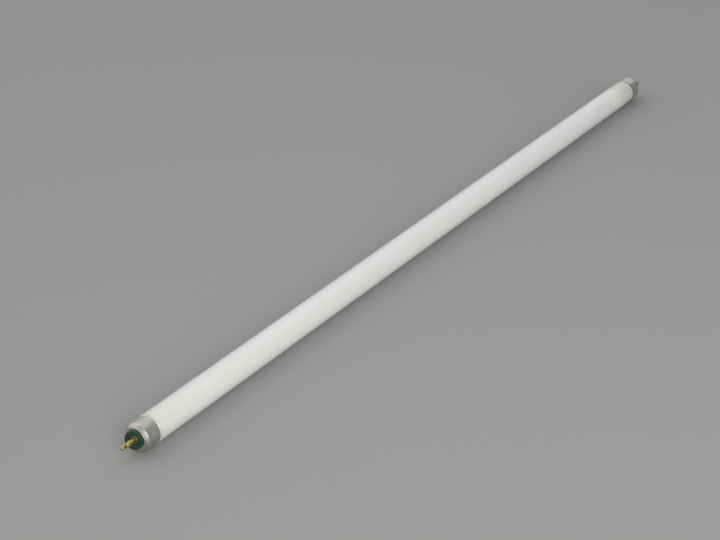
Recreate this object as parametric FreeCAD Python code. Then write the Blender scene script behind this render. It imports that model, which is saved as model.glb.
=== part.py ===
import FreeCAD, Part
import math
import os

# Straight fluorescent tube with a two-pin cap at each end, in millimetres.
# X runs along the tube, Z is up, and the origin is at the middle of the tube.
# A place along an end is its depth: how far it lies inwards from the face that the pins stand on.

# Whole lamp
FACE_SPAN = 549.0
PIN_PLANE_ROLL_DEG = 44.0

# Glass bulb
GLASS_DIAMETER = 16.0
GLASS_SHOULDER_LENGTH = 1.4
GLASS_SHOULDER_RADIUS = 3.0
NECK_STEP = 1.05
NECK_LENGTH = 5.8
NECK_ROOT_RADIUS = 0.4
NECK_EDGE_RADIUS = 0.8
FUNNEL_DEPTH = 4.0
FUNNEL_FLARE = 1.2
FUNNEL_LIP_RADIUS = 0.3
EXHAUST_TIP_DIAMETER = 2.6
EXHAUST_TIP_LENGTH = 3.2
EXHAUST_TIP_FLAT = 0.3

# Aluminium cap shell
SHELL_WALL = 0.3
SKIRT_LENGTH = 8.25
SHOULDER_LENGTH = 1.0
SHOULDER_WIDTH = 1.05
SHOULDER_RADIUS = 0.6
CROWN_HEIGHT = 1.0
CROWN_EDGE_RADIUS = 0.4
CROWN_ROOT_RADIUS = 0.15
RIM_GAP = 0.15

# Moulded insulator
BOSS_END_SETBACK = 0.5
BOSS_WIDTH = 10.0
BOSS_HEIGHT = 1.6
BOSS_EDGE_RADIUS = 0.4
BOSS_CLEARANCE = 0.05
FLANGE_CLEARANCE = 0.1

# Contact pins
PIN_DIAMETER = 2.35
PIN_LENGTH = 6.9
PIN_SPACING = 4.75
PIN_TIP_FLAT = 0.3
PIN_TIP_WALL = 1.2
PIN_HOLE_CLEARANCE = 0.05
BEAD_THICKNESS = 0.5
BEAD_RISE = 0.4
BEAD_EDGE_RADIUS = 0.15
HEAD_THICKNESS = 0.5
HEAD_RISE = 0.5

# Lead-in wires
LEAD_DIAMETER = 0.5
LEAD_BORE_CLEARANCE = 0.2
LEAD_FUNNEL_CLEARANCE = 0.6

# Basing cement
CEMENT_THICKNESS = 0.5
CEMENT_LENGTH = 4.6
CEMENT_SETBACK = 0.8

# Radii that follow from the sizes above
glass_r = GLASS_DIAMETER / 2
neck_r = glass_r - NECK_STEP
bore_r = neck_r + CEMENT_THICKNESS
shell_r = bore_r + SHELL_WALL
crown_r = shell_r - SHOULDER_WIDTH
boss_reach = crown_r - BOSS_END_SETBACK
flange_r = crown_r - SHELL_WALL - FLANGE_CLEARANCE
flange_edge_radius = CROWN_EDGE_RADIUS - SHELL_WALL + FLANGE_CLEARANCE
pin_r = PIN_DIAMETER / 2
pin_hole_r = pin_r + PIN_HOLE_CLEARANCE
bead_r = pin_r + BEAD_RISE
head_r = pin_r + HEAD_RISE
lead_r = LEAD_DIAMETER / 2
pin_bore_r = lead_r + LEAD_BORE_CLEARANCE
tip_r = EXHAUST_TIP_DIAMETER / 2
funnel_floor_r = PIN_SPACING / 2 + lead_r + LEAD_FUNNEL_CLEARANCE
funnel_mouth_r = funnel_floor_r + FUNNEL_FLARE

# Depths that follow from the sizes above
crown_depth = BOSS_HEIGHT
crown_foot_depth = crown_depth + CROWN_HEIGHT
shoulder_depth = crown_foot_depth + SHOULDER_LENGTH
rim_depth = shoulder_depth + SKIRT_LENGTH
shoulder_slope = math.atan2(SHOULDER_WIDTH, SHOULDER_LENGTH)
inner_shift = SHELL_WALL * math.tan(shoulder_slope / 2)
insulator_back = crown_foot_depth + SHELL_WALL
head_back = insulator_back + HEAD_THICKNESS
shoulder_run_in_skirt = CEMENT_THICKNESS * GLASS_SHOULDER_LENGTH / NECK_STEP
neck_root_depth = rim_depth + RIM_GAP - shoulder_run_in_skirt
glass_end_depth = neck_root_depth - NECK_LENGTH
funnel_floor_depth = glass_end_depth + FUNNEL_DEPTH
exhaust_tip_depth = funnel_floor_depth - EXHAUST_TIP_LENGTH
cement_outer_depth = rim_depth - CEMENT_SETBACK - CEMENT_LENGTH
pin_bore_end = PIN_TIP_WALL - PIN_LENGTH


def rounded_outline(corners):
    """A closed face in the XY plane from (x, y, corner radius) triples, with tangent arcs at the corners."""
    entries = []
    exits = []
    edges = []
    count = len(corners)
    for i, (x, y, radius) in enumerate(corners):
        here = FreeCAD.Vector(x, y, 0)
        before = FreeCAD.Vector(*corners[i - 1][:2], 0) - here
        after = FreeCAD.Vector(*corners[(i + 1) % count][:2], 0) - here
        before.normalize()
        after.normalize()
        half_angle = before.getAngle(after) / 2
        run = radius / math.tan(half_angle)
        entries.append(here + before * run)
        exits.append(here + after * run)
        if radius:
            bisector = (before + after).normalize()
            middle = here + bisector * (radius / math.sin(half_angle) - radius)
            edges.append(Part.Arc(entries[i], middle, exits[i]).toShape())
    for i in range(count):
        start = exits[i]
        end = entries[(i + 1) % count]
        if start.distanceToPoint(end) > 1e-6:
            edges.append(Part.makeLine(start, end))
    return Part.Face(Part.Wire(Part.__sortEdges__(edges)))


def along(side, depth):
    """The X of a depth at one end: side is -1 at the left end and 1 at the right end."""
    return side * (FACE_SPAN / 2 - depth)


def turned(outline):
    """The solid that an outline sweeps round the tube's axis."""
    return outline.revolve(FreeCAD.Vector(0, 0, 0), FreeCAD.Vector(1, 0, 0), 360)


def turned_at(side, corners):
    """A solid turned round the tube's axis from (depth, radius, corner radius) triples at one end."""
    return turned(rounded_outline([(along(side, depth), r, rounding) for depth, r, rounding in corners]))


def pin_offset(rank):
    """How far a pin stands from the tube's axis: rank is 1 for the upper pin and -1 for the lower one."""
    roll = math.radians(PIN_PLANE_ROLL_DEG)
    reach = rank * PIN_SPACING / 2
    return FreeCAD.Vector(0, -reach * math.cos(roll), reach * math.sin(roll))


def glass_end(side):
    """Corners of one sealed end of the glass: tipped-off exhaust tube, funnel, neck and shoulder."""
    corners = [
        (exhaust_tip_depth, 0, 0),
        (exhaust_tip_depth, tip_r, tip_r - EXHAUST_TIP_FLAT),
        (funnel_floor_depth, tip_r, 0),
        (funnel_floor_depth, funnel_floor_r, 0),
        (glass_end_depth, funnel_mouth_r, FUNNEL_LIP_RADIUS),
        (glass_end_depth, neck_r, NECK_EDGE_RADIUS),
        (neck_root_depth, neck_r, NECK_ROOT_RADIUS),
        (neck_root_depth + GLASS_SHOULDER_LENGTH, glass_r, GLASS_SHOULDER_RADIUS),
    ]
    return [(along(side, depth), r, rounding) for depth, r, rounding in corners]


def glass_tube():
    """The sealed bulb, one solid with the same form at both ends."""
    left = glass_end(-1)
    right = glass_end(1)
    return turned(rounded_outline(left + right[::-1]))


def oval_prism(side, margin):
    """The boss's oval round both pins, from the insulator's back to its face, grown by a margin."""
    back = FreeCAD.Vector(along(side, insulator_back), 0, 0)
    pin_line = pin_offset(1).normalize()
    across = pin_line.cross(FreeCAD.Vector(1, 0, 0))
    oval = Part.Ellipse(
        back + pin_line * (boss_reach + margin),
        back + across * (BOSS_WIDTH / 2 + margin),
        back,
    )
    return Part.Face(Part.Wire(oval.toShape())).extrude(FreeCAD.Vector(side * insulator_back, 0, 0))


def cap_shell(side):
    """A drawn shell: skirt, sloped shoulder, raised crown and the oval hole that the boss fills."""
    outside = [
        (rim_depth, shell_r, 0),
        (shoulder_depth, shell_r, SHOULDER_RADIUS),
        (crown_foot_depth, crown_r, CROWN_ROOT_RADIUS),
        (crown_depth, crown_r, CROWN_EDGE_RADIUS),
        (crown_depth, 0, 0),
    ]
    inside = [
        (crown_depth + SHELL_WALL, 0, 0),
        (crown_depth + SHELL_WALL, crown_r - SHELL_WALL, CROWN_EDGE_RADIUS - SHELL_WALL),
        (crown_foot_depth + inner_shift, crown_r - SHELL_WALL, CROWN_ROOT_RADIUS + SHELL_WALL),
        (shoulder_depth + inner_shift, bore_r, SHOULDER_RADIUS - SHELL_WALL),
        (rim_depth, bore_r, 0),
    ]
    shell = turned_at(side, outside + inside)
    return shell.cut(oval_prism(side, BOSS_CLEARANCE))


def insulator(side):
    """A moulded disc whose flange sits inside the crown and whose oval boss stands through it."""
    flange = turned_at(side, [
        (crown_depth + SHELL_WALL, 0, 0),
        (crown_depth + SHELL_WALL, flange_r, flange_edge_radius),
        (insulator_back, flange_r, 0),
        (insulator_back, 0, 0),
    ])
    boss = oval_prism(side, 0)
    front_edges = [edge for edge in boss.Edges if abs(edge.CenterOfMass.x - along(side, 0)) < 1e-6]
    boss = boss.makeFillet(BOSS_EDGE_RADIUS, front_edges)
    body = flange.fuse(boss).removeSplitter()
    inwards = FreeCAD.Vector(-side, 0, 0)
    for rank in (1, -1):
        start = FreeCAD.Vector(along(side, 0), 0, 0) + pin_offset(rank)
        body = body.cut(Part.makeCylinder(pin_hole_r, insulator_back, start, inwards))
    return body


def contact_pin(side, rank):
    """A hollow pin with a rounded tip: its bead and its inner head clamp the insulator between them."""
    pin = turned_at(side, [
        (-PIN_LENGTH, 0, 0),
        (-PIN_LENGTH, pin_r, pin_r - PIN_TIP_FLAT),
        (-BEAD_THICKNESS, pin_r, 0),
        (-BEAD_THICKNESS, bead_r, BEAD_EDGE_RADIUS),
        (0, bead_r, 0),
        (0, pin_r, 0),
        (insulator_back, pin_r, 0),
        (insulator_back, head_r, 0),
        (head_back, head_r, 0),
        (head_back, pin_bore_r, 0),
        (pin_bore_end, pin_bore_r, 0),
        (pin_bore_end, 0, 0),
    ])
    pin.translate(pin_offset(rank))
    return pin


def lead_wire(side, rank):
    """A straight wire from the floor of the glass funnel to the end of a pin's bore."""
    start = FreeCAD.Vector(along(side, funnel_floor_depth), 0, 0) + pin_offset(rank)
    outwards = FreeCAD.Vector(side, 0, 0)
    return Part.makeCylinder(lead_r, funnel_floor_depth - pin_bore_end, start, outwards)


def cement_ring(side):
    """The cement between the glass neck and the skirt, set back from the skirt's rim."""
    inner_depth = rim_depth - CEMENT_SETBACK
    return turned_at(side, [
        (cement_outer_depth, neck_r, 0),
        (cement_outer_depth, bore_r, 0),
        (inner_depth, bore_r, 0),
        (inner_depth, neck_r, 0),
    ])


def write(name, shape):
    """One solid to its own file, named for the piece."""
    solid = shape.Solids[0]
    solid.exportStep(f"parts/{name}.step")
    print(f"{name}: {solid.Volume:.2f} mm3, valid {solid.isValid()}")


os.makedirs("parts", exist_ok=True)
write("glass_tube", glass_tube())
for end, side in (("left", -1), ("right", 1)):
    write(f"{end}_cap_shell", cap_shell(side))
    write(f"{end}_insulator", insulator(side))
    write(f"{end}_cement", cement_ring(side))
    for level, rank in (("upper", 1), ("lower", -1)):
        write(f"{end}_{level}_pin", contact_pin(side, rank))
        write(f"{end}_{level}_lead", lead_wire(side, rank))
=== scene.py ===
import math

import bmesh
import bpy
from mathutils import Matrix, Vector


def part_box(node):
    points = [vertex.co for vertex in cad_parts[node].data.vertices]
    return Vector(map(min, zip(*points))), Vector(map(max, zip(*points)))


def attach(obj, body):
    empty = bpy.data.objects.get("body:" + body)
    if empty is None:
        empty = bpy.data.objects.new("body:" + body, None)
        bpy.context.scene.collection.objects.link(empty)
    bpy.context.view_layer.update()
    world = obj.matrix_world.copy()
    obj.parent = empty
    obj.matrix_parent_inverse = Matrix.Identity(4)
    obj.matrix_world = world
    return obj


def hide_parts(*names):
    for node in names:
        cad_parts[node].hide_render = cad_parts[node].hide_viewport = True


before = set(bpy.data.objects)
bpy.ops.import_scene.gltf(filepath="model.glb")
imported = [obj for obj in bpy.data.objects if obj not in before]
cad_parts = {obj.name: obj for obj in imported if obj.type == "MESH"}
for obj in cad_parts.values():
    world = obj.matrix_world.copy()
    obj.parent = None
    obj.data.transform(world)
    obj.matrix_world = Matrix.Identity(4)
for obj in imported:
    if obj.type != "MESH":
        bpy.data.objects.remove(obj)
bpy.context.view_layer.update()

bl_info = {
    "name": "Fluorescent tube",
    "version": (1, 0, 0),
    "blender": (4, 5, 0),
    "location": "3D View > Sidebar > Lamp",
    "description": "Finishes for a slim fluorescent tube with two-pin caps, on a pale studio floor",
    "category": "Object",
}

MM = 0.001
ENDS = ("left", "right")
LEVELS = ("upper", "lower")

# The frame is in metres, with X along the tube and Z up. The right end's places serve for both ends.
GLASS_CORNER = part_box("glass_tube")[1]
GLASS_RADIUS = GLASS_CORNER.y
GLASS_END = GLASS_CORNER.x
CAP_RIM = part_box("right_cap_shell")[0].x
PIN_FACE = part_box("right_insulator")[1].x

# Sizes of the patterns in the finishes.
CLOUD_LENGTH = 60 * MM
CLOUD_WIDTH = 9 * MM
PATCH_SIZE = 4 * MM
FLOW_MARK_SIZE = 2.5 * MM
STAIN_SIZE = 1.2 * MM
# How far the painted shade at the pins' root reaches.
ROOT_SHADE_LENGTH = 2.2 * MM
FILLER_SIZE = 0.5 * MM

# Real die lines, mould grain, turning rings and draw marks are finer than these.
# They are drawn this coarse so that a close view shows them.
DIE_LINE_LENGTH = 9 * MM
DIE_LINE_WIDTH = 0.25 * MM
MOULD_GRAIN_SIZE = 0.2 * MM
RING_PITCH = 0.12 * MM
DRAW_MARK_LENGTH = 3 * MM
DRAW_MARK_WIDTH = 0.1 * MM

# Paper tooth is finer than a pixel here, so it is drawn 3 mm wide to show at all.
PAPER_TOOTH_SIZE = 3 * MM


def linear(hex_colour):
    """An sRGB hex colour as linear red, green and blue."""
    channels = [int(hex_colour[i:i + 2], 16) / 255 for i in (1, 3, 5)]
    return [c / 12.92 if c <= 0.04045 else ((c + 0.055) / 1.055) ** 2.4 for c in channels]


def length(name, description, millimetres):
    """A size that a user would change, given in millimetres."""
    return bpy.props.FloatProperty(
        name=name, description=description, default=millimetres * MM, min=0, precision=5, unit="LENGTH"
    )


def colour(name, description, hex_colour):
    """A colour that a user would change, given as sRGB hex."""
    return bpy.props.FloatVectorProperty(
        name=name, description=description, default=linear(hex_colour), min=0, max=1, subtype="COLOR"
    )


class GlassSettings(bpy.types.PropertyGroup):
    """The glass bulb and its white coat."""

    neck_step: length("Neck step", "How far the neck lies below the tube's wall", 1.05)
    neck_inset: length("Neck inset", "How far inside the skirt the neck begins", 0.517)
    shoulder_length: length("Shoulder length", "Length of the slope between the neck and the wall", 1.4)
    shoulder_run: length("Shoulder rounding", "How far the rounding runs from the shoulder's edge", 1.0)
    neck_root_run: length("Neck root rounding", "How far the rounding runs from the neck's root", 0.13)
    neck_edge_run: length("Neck edge rounding", "How far the rounding runs from the neck's end", 0.8)
    funnel_depth: length("Funnel depth", "Depth of the funnel that the lead-in wires leave by", 4.0)
    funnel_mouth: length("Funnel mouth", "Radius of the funnel's mouth", 4.4)
    funnel_floor: length("Funnel floor", "Radius of the funnel's floor", 3.2)
    funnel_lip_run: length("Funnel lip rounding", "How far the rounding runs from the funnel's lip", 0.22)
    tip_radius: length("Exhaust tip radius", "Radius of the sealed exhaust tube", 1.3)
    tip_length: length("Exhaust tip length", "Length of the sealed exhaust tube", 3.2)
    tip_run: length("Exhaust tip rounding", "How far the rounding runs from the sealed tube's edge", 1.0)
    coat: colour("Coat", "The white phosphor coat seen through the glass", "#f1f2ef")
    coat_shade: colour("Coat shade", "The coat where it lies thinner", "#e6e8e4")
    end_band: colour("End band", "The coat next to the electrodes", "#cfcfc7")
    end_band_length: length("End band length", "How far the end band fades out from the cap", 30.0)
    # Painted shade: the dark band on the shoulder beside each cap, where the glass meets the cap.
    painted_shoulder_shade: colour("Painted shoulder shade", "The shoulder beside the cap, darkened by painted shade", "#5f5b52")
    painted_shoulder_shade_length: length("Painted shoulder shade length", "How far the painted shade band reaches from the cap", 2.0)
    painted_shoulder_shade_fade: length("Painted shoulder shade fade", "How far the painted shade band takes to fade into the coat", 1.2)
    left_share: bpy.props.FloatProperty(
        name="Left end's share",
        description="How strongly the left end shows its bands, beside the right",
        default=0.2, min=0, max=1,
    )


class MetalSettings(bpy.types.PropertyGroup):
    """The aluminium caps, the brass pins and the lead-in wires."""

    aluminium: colour("Aluminium", "Drawn aluminium of the cap shells", "#d2d1cd")
    aluminium_dull: colour("Aluminium, handled", "The same where it has dulled", "#bbbab6")
    brass: colour("Brass", "Turned brass of the pins", "#cfc07a")
    # This colour serves both the tarnish stains and the painted shade at the pins' root.
    brass_tarnish_and_shade: colour("Brass, tarnish and painted shade", "The same where it has darkened", "#776a38")
    wire: colour("Lead-in wire", "Nickel-plated wire", "#b7b3a8")


class PlasticSettings(bpy.types.PropertyGroup):
    """The moulded insulators and the basing cement."""

    green: colour("Insulator", "Dark green moulded insulator", "#0a442c")
    green_shade: colour("Insulator, shaded", "The same in its flow marks", "#073520")
    cement: colour("Cement", "Cured basing cement", "#7a5a3e")
    cement_shade: colour("Cement, filler", "Filler grains in the cement", "#5b4330")


class StageSettings(bpy.types.PropertyGroup):
    """The floor, the room's light and the camera."""

    floor: colour("Floor", "Pale grey paper under the lamp", "#a4a4a2")
    floor_size: length("Floor size", "Width of the floor", 16000)
    room_light: bpy.props.FloatProperty(
        name="Room light", description="Strength of the light from all round", default=0.28, min=0
    )
    lens: bpy.props.FloatProperty(
        name="Lens", description="Focal length in millimetres", default=86.82, unit="CAMERA"
    )
    sensor: bpy.props.FloatProperty(
        name="Sensor", description="Sensor width in millimetres", default=36.0, unit="CAMERA"
    )
    camera_x: length("Camera X", "Distance of the camera behind the tube's middle", 800.7)
    camera_y: length("Camera Y", "Distance of the camera to the tube's near side", 489.0)
    camera_z: length("Camera Z", "Height of the camera over the tube's axis", 478.3)
    heading: bpy.props.FloatProperty(
        name="Heading", description="Turn of the view from the tube's axis",
        default=math.radians(33.98), unit="ROTATION",
    )
    tilt: bpy.props.FloatProperty(
        name="Tilt", description="Downward tilt of the view", default=math.radians(28.36), unit="ROTATION"
    )


class LampSettings(bpy.types.PropertyGroup):
    """All the settings of the lamp."""

    glass: bpy.props.PointerProperty(type=GlassSettings)
    metal: bpy.props.PointerProperty(type=MetalSettings)
    plastic: bpy.props.PointerProperty(type=PlasticSettings)
    stage: bpy.props.PointerProperty(type=StageSettings)


def find_socket(sockets, key):
    """A socket by its identifier, or else by its name or number."""
    return next((s for s in sockets if s.identifier == key), None) or sockets[key]


def add_node(tree, kind, settings=None, inputs=None, links=None):
    """One node with its settings, its fixed inputs and the (node, socket) pairs that link into it."""
    node = tree.nodes.new(kind)
    for name, value in (settings or {}).items():
        setattr(node, name, value)
    for name, value in (inputs or {}).items():
        find_socket(node.inputs, name).default_value = value
    for name, source in (links or {}).items():
        tree.links.new(find_socket(source[0].outputs, source[1]), find_socket(node.inputs, name))
    return node


def rgba(value):
    """A settings colour with full opacity."""
    return (*value, 1.0)


def new_material(name):
    """An empty node material and its tree."""
    material = bpy.data.materials.new(name)
    material.use_nodes = True
    material.node_tree.nodes.clear()
    return material, material.node_tree


def stretched(tree, place, along, across):
    """Object places counted in pattern lengths along the tube and pattern widths across it."""
    return add_node(
        tree, "ShaderNodeMapping",
        inputs={"Scale": (1 / along, 1 / across, 1 / across)},
        links={"Vector": (place, "Object")},
    )


def add_noise(tree, vector, size, detail, distortion=0.0):
    """Noise whose grains are about one size."""
    return add_node(
        tree, "ShaderNodeTexNoise",
        inputs={"Scale": 1 / size, "Detail": detail, "Distortion": distortion},
        links={"Vector": vector},
    )


def mix_colours(tree, first, second, share):
    """Two settings colours mixed by the second one's share."""
    return add_node(
        tree, "ShaderNodeMix", {"data_type": "RGBA"},
        {"A_Color": rgba(first), "B_Color": rgba(second)},
        {"Factor_Float": share},
    )


def add_relief(tree, height, strength, depth):
    """Surface relief from a pattern."""
    return add_node(
        tree, "ShaderNodeBump", inputs={"Strength": strength, "Distance": depth}, links={"Height": height}
    )


def add_surface(tree, inputs, links):
    """The surface shader, linked to the material's output."""
    shader = add_node(tree, "ShaderNodeBsdfPrincipled", inputs=inputs, links=links)
    add_node(tree, "ShaderNodeOutputMaterial", links={"Surface": (shader, "BSDF")})


def coated_glass(settings):
    """Drawn soda-lime glass over a fired phosphor coat: matt white in depth, a smooth sheen on top."""
    material, tree = new_material("drawn_glass_over_phosphor_coat")
    place = add_node(tree, "ShaderNodeTexCoord")
    # The slurry runs down the upright tube while it dries, so the coat's clouds are long along X.
    clouds_at = stretched(tree, place, CLOUD_LENGTH, CLOUD_WIDTH)
    clouds = add_noise(tree, (clouds_at, "Vector"), size=1, detail=3)
    body = mix_colours(tree, settings.coat_shade, settings.coat, (clouds, "Fac"))
    # The coat darkens over the end band before each cap, and a band of painted shade darkens the shoulder
    # beside the cap; both are stronger at the right end.
    along = add_node(tree, "ShaderNodeSeparateXYZ", links={"Vector": (place, "Object")})
    from_middle = add_node(tree, "ShaderNodeMath", {"operation": "ABSOLUTE"}, links={0: (along, "X")})
    side_share = add_node(
        tree, "ShaderNodeMapRange",
        inputs={"From Min": -CAP_RIM, "From Max": CAP_RIM, "To Min": settings.left_share},
        links={"Value": (along, "X")},
    )
    shade_start = CAP_RIM - settings.painted_shoulder_shade_length
    for start, stop, band in (
        (CAP_RIM - settings.end_band_length, CAP_RIM, settings.end_band),
        # This band is painted shade on the shoulder beside the cap.
        (shade_start, shade_start + settings.painted_shoulder_shade_fade, settings.painted_shoulder_shade),
    ):
        reach = add_node(
            tree, "ShaderNodeMapRange", {"interpolation_type": "SMOOTHSTEP"},
            {"From Min": start, "From Max": stop}, {"Value": (from_middle, 0)},
        )
        share = add_node(
            tree, "ShaderNodeMath", {"operation": "MULTIPLY"},
            links={0: (reach, "Result"), 1: (side_share, "Result")},
        )
        body = add_node(
            tree, "ShaderNodeMix", {"data_type": "RGBA"},
            {"B_Color": rgba(band)},
            {"Factor_Float": (share, "Value"), "A_Color": (body, "Result_Color")},
        )
    add_surface(tree, {"Roughness": 0.22, "IOR": 1.52}, {"Base Color": (body, "Result_Color")})
    return material


def drawn_aluminium(settings):
    """Thin aluminium drawn through a die: satin, with faint lines along the draw and dulled patches."""
    material, tree = new_material("drawn_satin_aluminium")
    place = add_node(tree, "ShaderNodeTexCoord")
    lines_at = stretched(tree, place, DIE_LINE_LENGTH, DIE_LINE_WIDTH)
    lines = add_noise(tree, (lines_at, "Vector"), size=1, detail=2)
    patches = add_noise(tree, (place, "Object"), PATCH_SIZE, detail=4)
    body = mix_colours(tree, settings.aluminium, settings.aluminium_dull, (patches, "Fac"))
    roughness = add_node(
        tree, "ShaderNodeMapRange",
        inputs={"From Min": 0.3, "From Max": 0.7, "To Min": 0.38, "To Max": 0.5},
        links={"Value": (lines, "Fac")},
    )
    relief = add_relief(tree, (lines, "Fac"), strength=0.12, depth=0.02 * MM)
    add_surface(tree, {"Metallic": 1.0}, {
        "Base Color": (body, "Result_Color"),
        "Roughness": (roughness, "Result"),
        "Normal": (relief, "Normal"),
    })
    return material


def moulded_insulator(settings):
    """Compression-moulded thermoset: dark green, a soft gloss and faint flow marks."""
    material, tree = new_material("moulded_green_thermoset")
    place = add_node(tree, "ShaderNodeTexCoord")
    flow = add_noise(tree, (place, "Object"), FLOW_MARK_SIZE, detail=3, distortion=0.6)
    grain = add_noise(tree, (place, "Object"), MOULD_GRAIN_SIZE, detail=2)
    body = mix_colours(tree, settings.green_shade, settings.green, (flow, "Fac"))
    roughness = add_node(
        tree, "ShaderNodeMapRange", inputs={"To Min": 0.3, "To Max": 0.45}, links={"Value": (flow, "Fac")}
    )
    relief = add_relief(tree, (grain, "Fac"), strength=0.15, depth=0.02 * MM)
    add_surface(tree, {"IOR": 1.6}, {
        "Base Color": (body, "Result_Color"),
        "Roughness": (roughness, "Result"),
        "Normal": (relief, "Normal"),
    })
    return material


def turned_brass(settings):
    """Brass rod turned on a lathe: bright, with turning rings and tarnish stains, and browner towards the
    root with painted shade.
    """
    material, tree = new_material("turned_brass_tarnish_and_shade")
    place = add_node(tree, "ShaderNodeTexCoord")
    along = add_node(tree, "ShaderNodeSeparateXYZ", links={"Vector": (place, "Object")})
    from_middle = add_node(tree, "ShaderNodeMath", {"operation": "ABSOLUTE"}, links={0: (along, "X")})
    # Painted shade: the brass darkens towards the root, where the pin meets the insulator.
    root_shade_share = add_node(
        tree, "ShaderNodeMapRange",
        inputs={"From Min": PIN_FACE + ROOT_SHADE_LENGTH, "From Max": PIN_FACE, "To Max": 0.45},
        links={"Value": (from_middle, 0)},
    )
    stains = add_noise(tree, (place, "Object"), STAIN_SIZE, detail=4)
    stain_share = add_node(
        tree, "ShaderNodeMapRange",
        inputs={"From Min": 0.45, "From Max": 0.75, "To Max": 0.5},
        links={"Value": (stains, "Fac")},
    )
    tarnish_and_root_shade = add_node(
        tree, "ShaderNodeMath", {"operation": "ADD", "use_clamp": True},
        links={0: (root_shade_share, "Result"), 1: (stain_share, "Result")},
    )
    body = mix_colours(tree, settings.brass, settings.brass_tarnish_and_shade, (tarnish_and_root_shade, "Value"))
    roughness = add_node(
        tree, "ShaderNodeMapRange",
        inputs={"To Min": 0.22, "To Max": 0.45},
        links={"Value": (tarnish_and_root_shade, "Value")},
    )
    # At a scale of 1 the wave's bands lie pi / 10 apart.
    rings = add_node(
        tree, "ShaderNodeTexWave", {"wave_type": "BANDS", "bands_direction": "X"},
        {"Scale": math.pi / 10 / RING_PITCH, "Distortion": 0.4}, {"Vector": (place, "Object")},
    )
    relief = add_relief(tree, (rings, "Fac"), strength=0.15, depth=0.01 * MM)
    add_surface(tree, {"Metallic": 1.0}, {
        "Base Color": (body, "Result_Color"),
        "Roughness": (roughness, "Result"),
        "Normal": (relief, "Normal"),
    })
    return material


def cured_cement(settings):
    """Phenolic basing cement, baked hard: matt brown with pale and dark filler grains."""
    material, tree = new_material("cured_basing_cement")
    place = add_node(tree, "ShaderNodeTexCoord")
    filler = add_noise(tree, (place, "Object"), FILLER_SIZE, detail=5)
    body = mix_colours(tree, settings.cement_shade, settings.cement, (filler, "Fac"))
    relief = add_relief(tree, (filler, "Fac"), strength=0.4, depth=0.1 * MM)
    add_surface(tree, {"Roughness": 0.85, "IOR": 1.5}, {
        "Base Color": (body, "Result_Color"),
        "Normal": (relief, "Normal"),
    })
    return material


def drawn_wire(settings):
    """Nickel-plated wire: grey, with draw marks along its length."""
    material, tree = new_material("drawn_nickel_wire")
    place = add_node(tree, "ShaderNodeTexCoord")
    marks_at = stretched(tree, place, DRAW_MARK_LENGTH, DRAW_MARK_WIDTH)
    marks = add_noise(tree, (marks_at, "Vector"), size=1, detail=2)
    roughness = add_node(
        tree, "ShaderNodeMapRange", inputs={"To Min": 0.3, "To Max": 0.5}, links={"Value": (marks, "Fac")}
    )
    add_surface(
        tree, {"Metallic": 1.0, "Base Color": rgba(settings.wire)}, {"Roughness": (roughness, "Result")}
    )
    return material


def studio_paper(settings):
    """Uncoated paper: matt and pale, with a faint tooth."""
    material, tree = new_material("uncoated_paper")
    place = add_node(tree, "ShaderNodeTexCoord")
    tooth = add_noise(tree, (place, "Object"), PAPER_TOOTH_SIZE, detail=2)
    relief = add_relief(tree, (tooth, "Fac"), strength=0.05, depth=0.1 * MM)
    add_surface(
        tree,
        {"Base Color": rgba(settings.floor), "Roughness": 0.9, "IOR": 1.45},
        {"Normal": (relief, "Normal")},
    )
    return material


def finish_nodes(names, material):
    """Puts a finish on CAD nodes whose shape is kept."""
    for name in names:
        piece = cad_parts[name]
        piece.data.materials.clear()
        piece.data.materials.append(material)


def extrude_ring(stations):
    """Extrudes the selected ring along X through (place, radius) pairs, starting with its own."""
    for (x, radius), (next_x, next_radius) in zip(stations, stations[1:]):
        bpy.ops.mesh.extrude_region_move(TRANSFORM_OT_translate={"value": (next_x - x, 0, 0)})
        scale = next_radius / radius
        bpy.ops.transform.resize(value=(1, scale, scale), center_override=(next_x, 0, 0))


def bevel_ring(place, radius, run, segments):
    """Rounds the ring edge that lies at a place along X with a given radius."""
    mesh = bmesh.from_edit_mesh(bpy.context.edit_object.data)
    tolerance = 0.02 * MM
    for edge in mesh.edges:
        edge.select_set(all(
            abs(v.co.x - place) < tolerance and abs(v.co.yz.length - radius) < tolerance
            for v in edge.verts
        ))
    mesh.select_flush_mode()
    bmesh.update_edit_mesh(bpy.context.edit_object.data)
    bpy.ops.mesh.bevel(offset=run, segments=segments, affect="EDGES")


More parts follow.
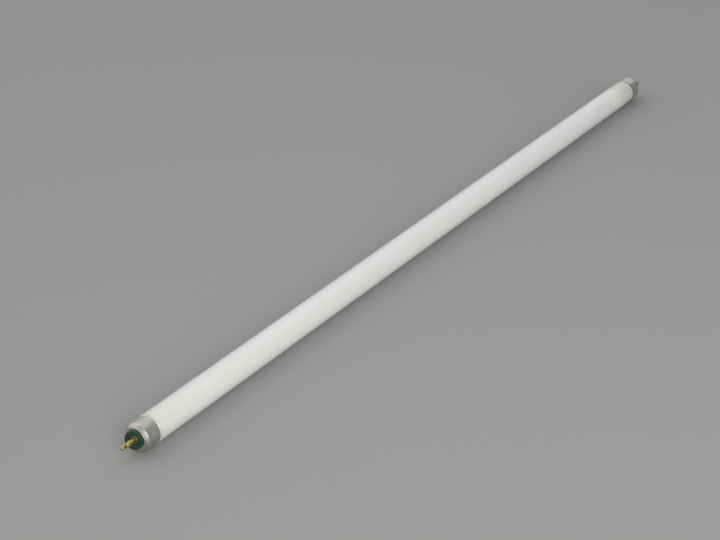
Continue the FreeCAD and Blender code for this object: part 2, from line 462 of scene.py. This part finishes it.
class LAMP_OT_stage(bpy.types.Operator):
    """Lay the floor, hang the lights and set the camera"""

    bl_idname = "lamp.stage"
    bl_label = "Stage"

    def execute(self, context):
        settings = context.scene.lamp.stage
        bpy.ops.object.select_all(action="DESELECT")
        bpy.ops.mesh.primitive_plane_add(size=settings.floor_size, location=(0, 0, -GLASS_RADIUS))
        floor = context.object
        floor.name = "floor"
        floor.data.materials.append(studio_paper(settings))

        world = bpy.data.worlds.new("soft_room")
        world.use_nodes = True
        world.node_tree.nodes["Background"].inputs["Color"].default_value = (1, 1, 1, 1)
        world.node_tree.nodes["Background"].inputs["Strength"].default_value = settings.room_light
        context.scene.world = world

        # A softbox beside the near end, with a grid in front that narrows its light.
        bpy.ops.object.light_add(type="AREA", location=(-0.6, -0.8, 0.48))
        softbox = context.object
        softbox.name = "front_softbox"
        softbox.data.shape = "RECTANGLE"
        softbox.data.size = 1.0
        softbox.data.size_y = 0.7
        softbox.data.energy = 1.35
        softbox.data.spread = math.radians(80)
        near_half = Vector((-0.2, 0, 0))
        softbox.rotation_euler = (near_half - softbox.location).to_track_quat("-Z", "Y").to_euler()

        # Broad light from far off: where it comes from, its spread in degrees and its strength.
        for name, source, spread, strength in (
            ("side_window", (-0.60, -0.75, 0.30), 100, 0.4),
            ("low_window", (-0.50, -0.86, 0.09), 20, 0.35),
            ("far_window", (0.63, 0.28, 0.72), 70, 0.6),
            ("back_window", (-0.25, 0.80, 0.55), 80, 1.0),
        ):
            turn = Vector(source).to_track_quat("Z", "Y").to_euler()
            bpy.ops.object.light_add(type="SUN", rotation=turn)
            light = context.object
            light.name = name
            light.data.angle = math.radians(spread)
            light.data.energy = strength

        bpy.ops.object.camera_add(
            location=(-settings.camera_x, -settings.camera_y, settings.camera_z),
            rotation=(math.pi / 2 - settings.tilt, 0, settings.heading - math.pi / 2),
        )
        camera = context.object
        camera.data.sensor_fit = "HORIZONTAL"
        camera.data.sensor_width = settings.sensor
        camera.data.lens = settings.lens
        context.scene.camera = camera
        context.scene.view_settings.view_transform = "Standard"
        return {"FINISHED"}


class LAMP_OT_glass(bpy.types.Operator):
    """Model the glass bulb finely and coat it white"""

    bl_idname = "lamp.glass"
    bl_label = "Glass bulb"

    def execute(self, context):
        settings = context.scene.lamp.glass
        neck_radius = GLASS_RADIUS - settings.neck_step
        neck_root = CAP_RIM + settings.neck_inset
        shoulder = neck_root - settings.shoulder_length
        funnel_floor = GLASS_END - settings.funnel_depth
        tip_end = funnel_floor + settings.tip_length
        bpy.ops.object.select_all(action="DESELECT")
        bpy.ops.mesh.primitive_circle_add(vertices=160, radius=GLASS_RADIUS, rotation=(0, math.pi / 2, 0))
        bulb = context.object
        bulb.name = "glass_bulb"
        bpy.ops.object.transform_apply(location=True, rotation=True, scale=True)
        bpy.ops.object.mode_set(mode="EDIT")
        bpy.ops.mesh.select_all(action="SELECT")
        extrude_ring([
            (0, GLASS_RADIUS),
            (shoulder, GLASS_RADIUS),
            (neck_root, neck_radius),
            (GLASS_END, neck_radius),
            (GLASS_END, settings.funnel_mouth),
            (funnel_floor, settings.funnel_floor),
            (funnel_floor, settings.tip_radius),
            (tip_end, settings.tip_radius),
        ])
        bpy.ops.mesh.edge_face_add()
        bevel_ring(shoulder, GLASS_RADIUS, settings.shoulder_run, segments=10)
        bevel_ring(neck_root, neck_radius, settings.neck_root_run, segments=3)
        bevel_ring(GLASS_END, neck_radius, settings.neck_edge_run, segments=5)
        bevel_ring(GLASS_END, settings.funnel_mouth, settings.funnel_lip_run, segments=3)
        bevel_ring(tip_end, settings.tip_radius, settings.tip_run, segments=6)
        bpy.ops.object.mode_set(mode="OBJECT")
        mirror = bulb.modifiers.new("far half", "MIRROR")
        mirror.use_axis = (True, False, False)
        bpy.ops.object.modifier_apply(modifier=mirror.name)
        bpy.ops.object.mode_set(mode="EDIT")
        bpy.ops.mesh.select_all(action="SELECT")
        bpy.ops.mesh.normals_make_consistent(inside=False)
        bpy.ops.object.mode_set(mode="OBJECT")
        bpy.ops.object.shade_smooth_by_angle(angle=math.radians(35))
        bulb.data.materials.append(coated_glass(settings))
        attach(bulb, "root")
        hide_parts("glass_tube")
        return {"FINISHED"}


class LAMP_OT_caps(bpy.types.Operator):
    """Finish the drawn aluminium cap shells"""

    bl_idname = "lamp.caps"
    bl_label = "Cap shells"

    def execute(self, context):
        finish_nodes([f"{end}_cap_shell" for end in ENDS], drawn_aluminium(context.scene.lamp.metal))
        return {"FINISHED"}


class LAMP_OT_insulators(bpy.types.Operator):
    """Finish the moulded insulators"""

    bl_idname = "lamp.insulators"
    bl_label = "Insulators"

    def execute(self, context):
        finish_nodes([f"{end}_insulator" for end in ENDS], moulded_insulator(context.scene.lamp.plastic))
        return {"FINISHED"}


class LAMP_OT_pins(bpy.types.Operator):
    """Finish the turned brass pins"""

    bl_idname = "lamp.pins"
    bl_label = "Contact pins"

    def execute(self, context):
        names = [f"{end}_{level}_pin" for end in ENDS for level in LEVELS]
        finish_nodes(names, turned_brass(context.scene.lamp.metal))
        return {"FINISHED"}


class LAMP_OT_cements(bpy.types.Operator):
    """Finish the rings of basing cement inside the caps"""

    bl_idname = "lamp.cements"
    bl_label = "Basing cement"

    def execute(self, context):
        finish_nodes([f"{end}_cement" for end in ENDS], cured_cement(context.scene.lamp.plastic))
        return {"FINISHED"}


class LAMP_OT_leads(bpy.types.Operator):
    """Finish the lead-in wires inside the caps"""

    bl_idname = "lamp.leads"
    bl_label = "Lead-in wires"

    def execute(self, context):
        names = [f"{end}_{level}_lead" for end in ENDS for level in LEVELS]
        finish_nodes(names, drawn_wire(context.scene.lamp.metal))
        return {"FINISHED"}


class LAMP_PT_sidebar(bpy.types.Panel):
    """The lamp's steps and settings"""

    bl_idname = "LAMP_PT_sidebar"
    bl_label = "Fluorescent tube"
    bl_space_type = "VIEW_3D"
    bl_region_type = "UI"
    bl_category = "Lamp"

    def draw(self, context):
        for step in STEPS:
            self.layout.operator(step.bl_idname)
        for name in ("glass", "metal", "plastic", "stage"):
            group = getattr(context.scene.lamp, name)
            box = self.layout.box()
            box.label(text=name.capitalize())
            for setting in group.__annotations__:
                box.prop(group, setting)


STEPS = (
    LAMP_OT_stage,
    LAMP_OT_glass,
    LAMP_OT_caps,
    LAMP_OT_insulators,
    LAMP_OT_pins,
    LAMP_OT_cements,
    LAMP_OT_leads,
)
CLASSES = (
    GlassSettings,
    MetalSettings,
    PlasticSettings,
    StageSettings,
    LampSettings,
    *STEPS,
    LAMP_PT_sidebar,
)


def register():
    for cls in CLASSES:
        bpy.utils.register_class(cls)
    bpy.types.Scene.lamp = bpy.props.PointerProperty(type=LampSettings)


def unregister():
    del bpy.types.Scene.lamp
    for cls in reversed(CLASSES):
        bpy.utils.unregister_class(cls)


def main():
    register()
    bpy.ops.lamp.stage()
    bpy.ops.lamp.glass()
    bpy.ops.lamp.caps()
    bpy.ops.lamp.insulators()
    bpy.ops.lamp.pins()
    bpy.ops.lamp.cements()
    bpy.ops.lamp.leads()


if __name__ == "__main__":
    main()
